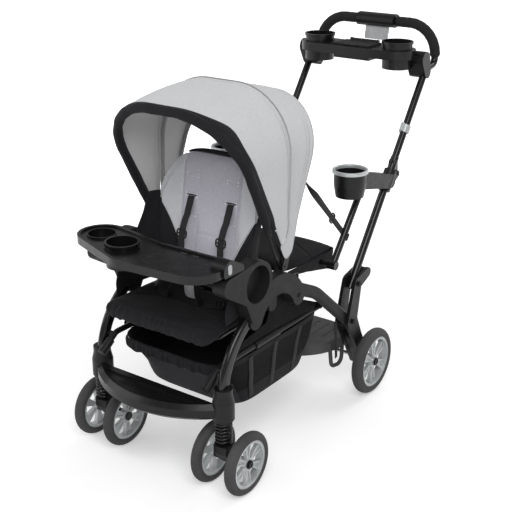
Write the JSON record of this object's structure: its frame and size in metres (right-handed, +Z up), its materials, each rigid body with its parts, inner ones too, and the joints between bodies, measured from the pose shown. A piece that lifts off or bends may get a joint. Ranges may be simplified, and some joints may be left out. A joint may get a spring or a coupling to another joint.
{
  "type": "tandem stroller",
  "caption": "Tandem stroller with a canopied front seat, swinging child tray, rear bench with standing board, sprung swivel casters and a folding push handle.",
  "frame": {"origin": "on the ground, midway between the child tray's front edge and the back of the push handle, on the centre plane", "axes": "+X to the left of the person who pushes, +Y backwards towards the push handle, +Z up"},
  "size_m": [0.5554, 1.23, 1.087],
  "materials": {
    "gloss_black": "glossy black enamel on tubes",
    "satin_black": "satin black moulding",
    "charcoal": "matte charcoal moulding",
    "tread": "ribbed dark plastic",
    "silver": "satin silver-grey moulding",
    "red": "glossy red",
    "steel": "plain steel",
    "spring": "black coated wire",
    "tyre": "matte dark grey foam rubber",
    "foam": "black foam",
    "black_cloth": "black woven cloth",
    "grey_cloth": "light heather grey cloth",
    "lilac_cloth": "lavender-grey heather cloth",
    "webbing": "black webbing"
  },
  "bodies": {
    "chassis": {"front_legs": "gloss_black", "hub_left": "charcoal", "hub_right": "charcoal", "arch_tubes": "charcoal", "footrest": "satin_black", "caster_housings": "satin_black", "basket_rails": "gloss_black", "basket": "black_cloth", "seat_frame": "steel", "seat_cushion": "black_cloth", "bench_frame": "steel", "bench_seat": "black_cloth", "canopy_rear_bow": "steel", "canopy_rear_panel": "grey_cloth", "crotch_strap": "grey_cloth", "harness_buckle": "satin_black"},
    "seat_back": {"seat_back_board": "satin_black", "seat_back_pad": "lilac_cloth", "shoulder_belts": "webbing"},
    "canopy_middle": {"canopy_mid_bow": "steel"},
    "canopy_front": {"canopy_front_bow": "steel", "canopy_front_panel": "grey_cloth", "canopy_binding": "black_cloth"},
    "tray": {"child_tray": "satin_black"},
    "tray_button": {"tray_release": "silver"},
    "rear_frame": {"rear_legs": "gloss_black", "lower_uprights": "gloss_black", "cup_brackets": "satin_black", "cup_rims": "silver", "front_posts": "gloss_black", "standing_board": "tread", "rear_axle": "steel"},
    "left_fold_button": {"fold_button_left": "red"},
    "right_fold_button": {"fold_button_right": "red"},
    "brake": {"brake_bar": "satin_black"},
    "rear_wheel_left": {"rear_tyre_left": "tyre", "rear_rim_left": "silver"},
    "rear_wheel_right": {"rear_tyre_right": "tyre", "rear_rim_right": "silver"},
    "push_handle": {"handle_tube": "gloss_black", "handle_grips": "foam", "handle_pod": "satin_black", "parent_console": "satin_black", "storage_clip": "silver"},
    "trigger": {"fold_trigger": "silver"},
    "lid": {"console_lid": "charcoal"},
    "caster_left": {"caster_stem_left": "steel", "caster_spring_left": "spring"},
    "caster_right": {"caster_stem_right": "steel", "caster_spring_right": "spring"},
    "fork_left": {"caster_fork_left": "satin_black"},
    "fork_right": {"caster_fork_right": "satin_black"},
    "front_wheel_left_outer": {"front_tyre_left_outer": "tyre", "front_rim_left_outer": "silver"},
    "front_wheel_left_inner": {"front_tyre_left_inner": "tyre", "front_rim_left_inner": "silver"},
    "front_wheel_right_outer": {"front_tyre_right_outer": "tyre", "front_rim_right_outer": "silver"},
    "front_wheel_right_inner": {"front_tyre_right_inner": "tyre", "front_rim_right_inner": "silver"}
  },
  "joints": [
    {"name": "frame_fold", "type": "hinge", "parent": "chassis", "child": "rear_frame", "pos_m": [0, 0.10399, 0.262], "axis": [-1, 0, 0], "range_deg": [0, 50], "deforming": ["basket"]},
    {"name": "handle_fold", "type": "hinge", "parent": "rear_frame", "child": "push_handle", "pos_m": [0, 0.35544, 0.65532], "axis": [-1, 0, 0], "range_deg": [0, 150]},
    {"name": "trigger_pull", "type": "slide", "parent": "push_handle", "child": "trigger", "axis": [0, 0, 1], "range_m": [0, 0.006], "stiffness_N_per_m": 800, "springref_m": -0.004},
    {"name": "lid_hinge", "type": "hinge", "parent": "push_handle", "child": "lid", "pos_m": [0, 0.51499, 1.011], "axis": [-1, 0, 0], "range_deg": [0, 75]},
    {"name": "canopy_fold", "type": "hinge", "parent": "chassis", "child": "canopy_front", "pos_m": [0, -0.23101, 0.542], "axis": [-1, 0, 0], "range_deg": [0, 34], "deforming": ["canopy_front_panel", "canopy_rear_panel"]},
    {"name": "canopy_middle_fold", "type": "hinge", "parent": "chassis", "child": "canopy_middle", "pos_m": [0, -0.23101, 0.542], "axis": [-1, 0, 0], "range_deg": [0, 13.6]},
    {"name": "seat_recline", "type": "hinge", "parent": "chassis", "child": "seat_back", "pos_m": [0, -0.27501, 0.446], "axis": [-1, 0, 0], "range_deg": [0, 20]},
    {"name": "tray_swing", "type": "hinge", "parent": "chassis", "child": "tray", "pos_m": [0.207, -0.48501, 0.606], "axis": [0, 0, 1], "range_deg": [0, 85]},
    {"name": "tray_button_press", "type": "slide", "parent": "tray", "child": "tray_button", "axis": [-1, 0, 0], "range_m": [0, 0.003], "stiffness_N_per_m": 600, "springref_m": -0.003},
    {"name": "left_button_press", "type": "slide", "parent": "rear_frame", "child": "left_fold_button", "axis": [-1, 0, 0], "range_m": [0, 0.003], "stiffness_N_per_m": 600, "springref_m": -0.003},
    {"name": "right_button_press", "type": "slide", "parent": "rear_frame", "child": "right_fold_button", "axis": [1, 0, 0], "range_m": [0, 0.003], "stiffness_N_per_m": 600, "springref_m": -0.003},
    {"name": "brake_pedal", "type": "hinge", "parent": "rear_frame", "child": "brake", "pos_m": [0, 0.21299, 0.1405], "axis": [-1, 0, 0], "range_deg": [0, 25]},
    {"name": "rear_wheel_left_spin", "type": "hinge", "parent": "rear_frame", "child": "rear_wheel_left", "pos_m": [0.2516, 0.19099, 0.1035], "axis": [1, 0, 0], "continuous": true},
    {"name": "caster_left_swivel", "type": "hinge", "parent": "chassis", "child": "caster_left", "pos_m": [0.209, -0.49901, 0.24], "axis": [0, 0, 1], "continuous": true},
    {"name": "caster_left_spring", "type": "slide", "parent": "caster_left", "child": "fork_left", "axis": [0, 0, 1], "range_m": [0, 0.012], "stiffness_N_per_m": 8000, "springref_m": -0.012, "deforming": ["caster_spring_left"]},
    {"name": "front_wheel_left_outer_spin", "type": "hinge", "parent": "fork_left", "child": "front_wheel_left_outer", "pos_m": [0.2632, -0.47501, 0.087], "axis": [1, 0, 0], "continuous": true},
    {"name": "front_wheel_left_inner_spin", "type": "hinge", "parent": "fork_left", "child": "front_wheel_left_inner", "pos_m": [0.1548, -0.47501, 0.087], "axis": [1, 0, 0], "continuous": true},
    {"name": "rear_wheel_right_spin", "type": "hinge", "parent": "rear_frame", "child": "rear_wheel_right", "pos_m": [-0.2516, 0.19099, 0.1035], "axis": [1, 0, 0], "continuous": true},
    {"name": "caster_right_swivel", "type": "hinge", "parent": "chassis", "child": "caster_right", "pos_m": [-0.209, -0.49901, 0.24], "axis": [0, 0, 1], "continuous": true},
    {"name": "caster_right_spring", "type": "slide", "parent": "caster_right", "child": "fork_right", "axis": [0, 0, 1], "range_m": [0, 0.012], "stiffness_N_per_m": 8000, "springref_m": -0.012, "deforming": ["caster_spring_right"]},
    {"name": "front_wheel_right_outer_spin", "type": "hinge", "parent": "fork_right", "child": "front_wheel_right_outer", "pos_m": [-0.2632, -0.47501, 0.087], "axis": [1, 0, 0], "continuous": true},
    {"name": "front_wheel_right_inner_spin", "type": "hinge", "parent": "fork_right", "child": "front_wheel_right_inner", "pos_m": [-0.1548, -0.47501, 0.087], "axis": [1, 0, 0], "continuous": true}
  ],
  "couplings": [
    {"joint": "canopy_middle_fold", "follows": "canopy_fold", "ratio": 0.4}
  ]
}
